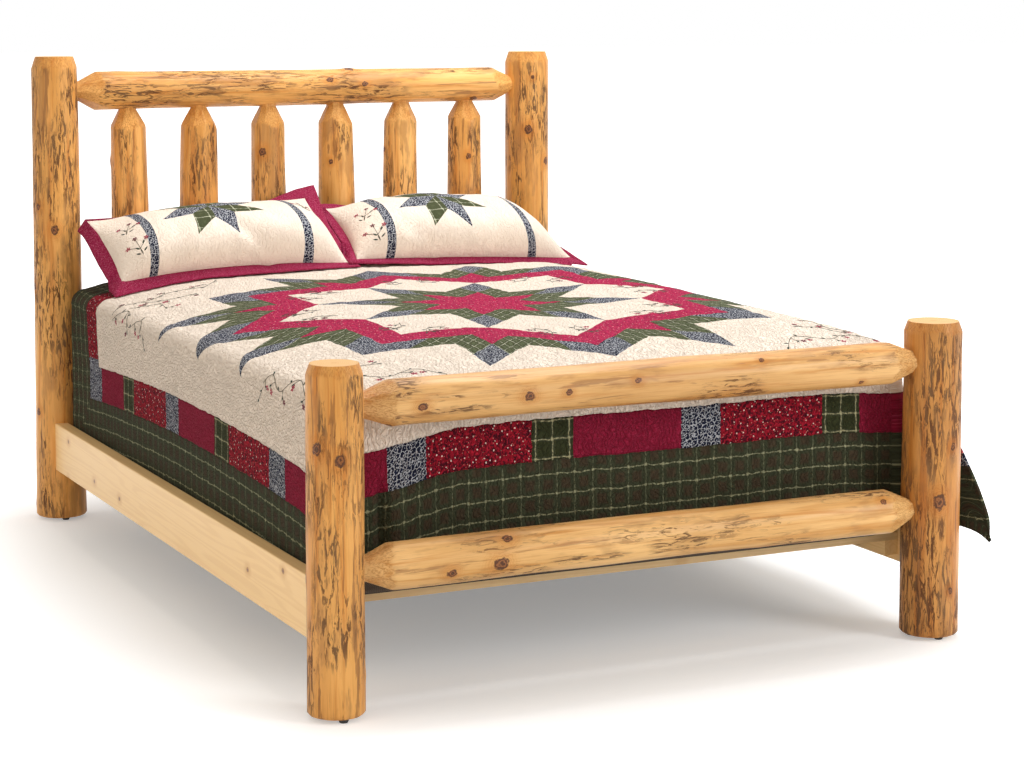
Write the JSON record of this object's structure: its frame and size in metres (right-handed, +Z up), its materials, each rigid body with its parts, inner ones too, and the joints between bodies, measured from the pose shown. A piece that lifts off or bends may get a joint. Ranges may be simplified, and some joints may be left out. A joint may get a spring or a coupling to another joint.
{
  "type": "log bed",
  "caption": "Rustic peeled-log bed with spindled headboard, two-rail footboard, sawn side rails, mattress, patchwork star quilt and pillow shams.",
  "frame": {"origin": "on the floor under the middle of the bed, at the centre of the foot of the centre leg", "axes": "+X to the right seen from the foot, +Y from foot to headboard, +Z up"},
  "size_m": [1.7718, 2.3765, 1.377],
  "materials": {
    "peeled_log": "clear satin lacquer over hand-peeled pine",
    "sawn_pine": "planed pine, clear satin lacquer",
    "black_steel": "black powder coat",
    "zinc_steel": "zinc plated",
    "glide_plastic": "matt black",
    "box_spring_cover": "grey woven cover",
    "mattress_ticking": "white woven ticking",
    "quilt_cotton": "washed cotton patchwork, stipple quilted",
    "sham_cotton": "washed cotton patchwork, stipple quilted"
  },
  "bodies": {
    "root": {"box_spring": "box_spring_cover", "bracket_lag_bolts": "zinc_steel", "bracket_screws": "zinc_steel", "center_leg": "peeled_log", "center_leg_screw": "zinc_steel", "cleat_screws": "zinc_steel", "floor_glides": "glide_plastic", "foot_bottom_rail": "peeled_log", "foot_post_left": "peeled_log", "foot_post_right": "peeled_log", "foot_top_rail": "peeled_log", "head_bottom_rail": "peeled_log", "head_post_left": "peeled_log", "head_post_right": "peeled_log", "head_top_rail": "peeled_log", "mattress": "mattress_ticking", "quilt": "quilt_cotton", "rail_bracket_foot_left": "black_steel", "rail_bracket_foot_right": "black_steel", "rail_bracket_head_left": "black_steel", "rail_bracket_head_right": "black_steel", "side_cleat_left": "sawn_pine", "side_cleat_right": "sawn_pine", "side_rail_left": "sawn_pine", "side_rail_right": "sawn_pine", "slat_1": "sawn_pine", "slat_2": "sawn_pine", "slat_3": "sawn_pine", "slat_4": "sawn_pine", "slat_5": "sawn_pine", "spindle_1": "peeled_log", "spindle_2": "peeled_log", "spindle_3": "peeled_log", "spindle_4": "peeled_log", "spindle_5": "peeled_log", "spindle_6": "peeled_log"},
    "left_pillow": {"pillow_left": "sham_cotton"},
    "right_pillow": {"pillow_right": "sham_cotton"}
  },
  "joints": [
    {"name": "left_pillow_lift", "type": "slide", "parent": "root", "child": "left_pillow", "axis": [0, 0, 1], "range_m": [0, 0.3]},
    {"name": "right_pillow_lift", "type": "slide", "parent": "root", "child": "right_pillow", "axis": [0, 0, 1], "range_m": [0, 0.3]}
  ]
}
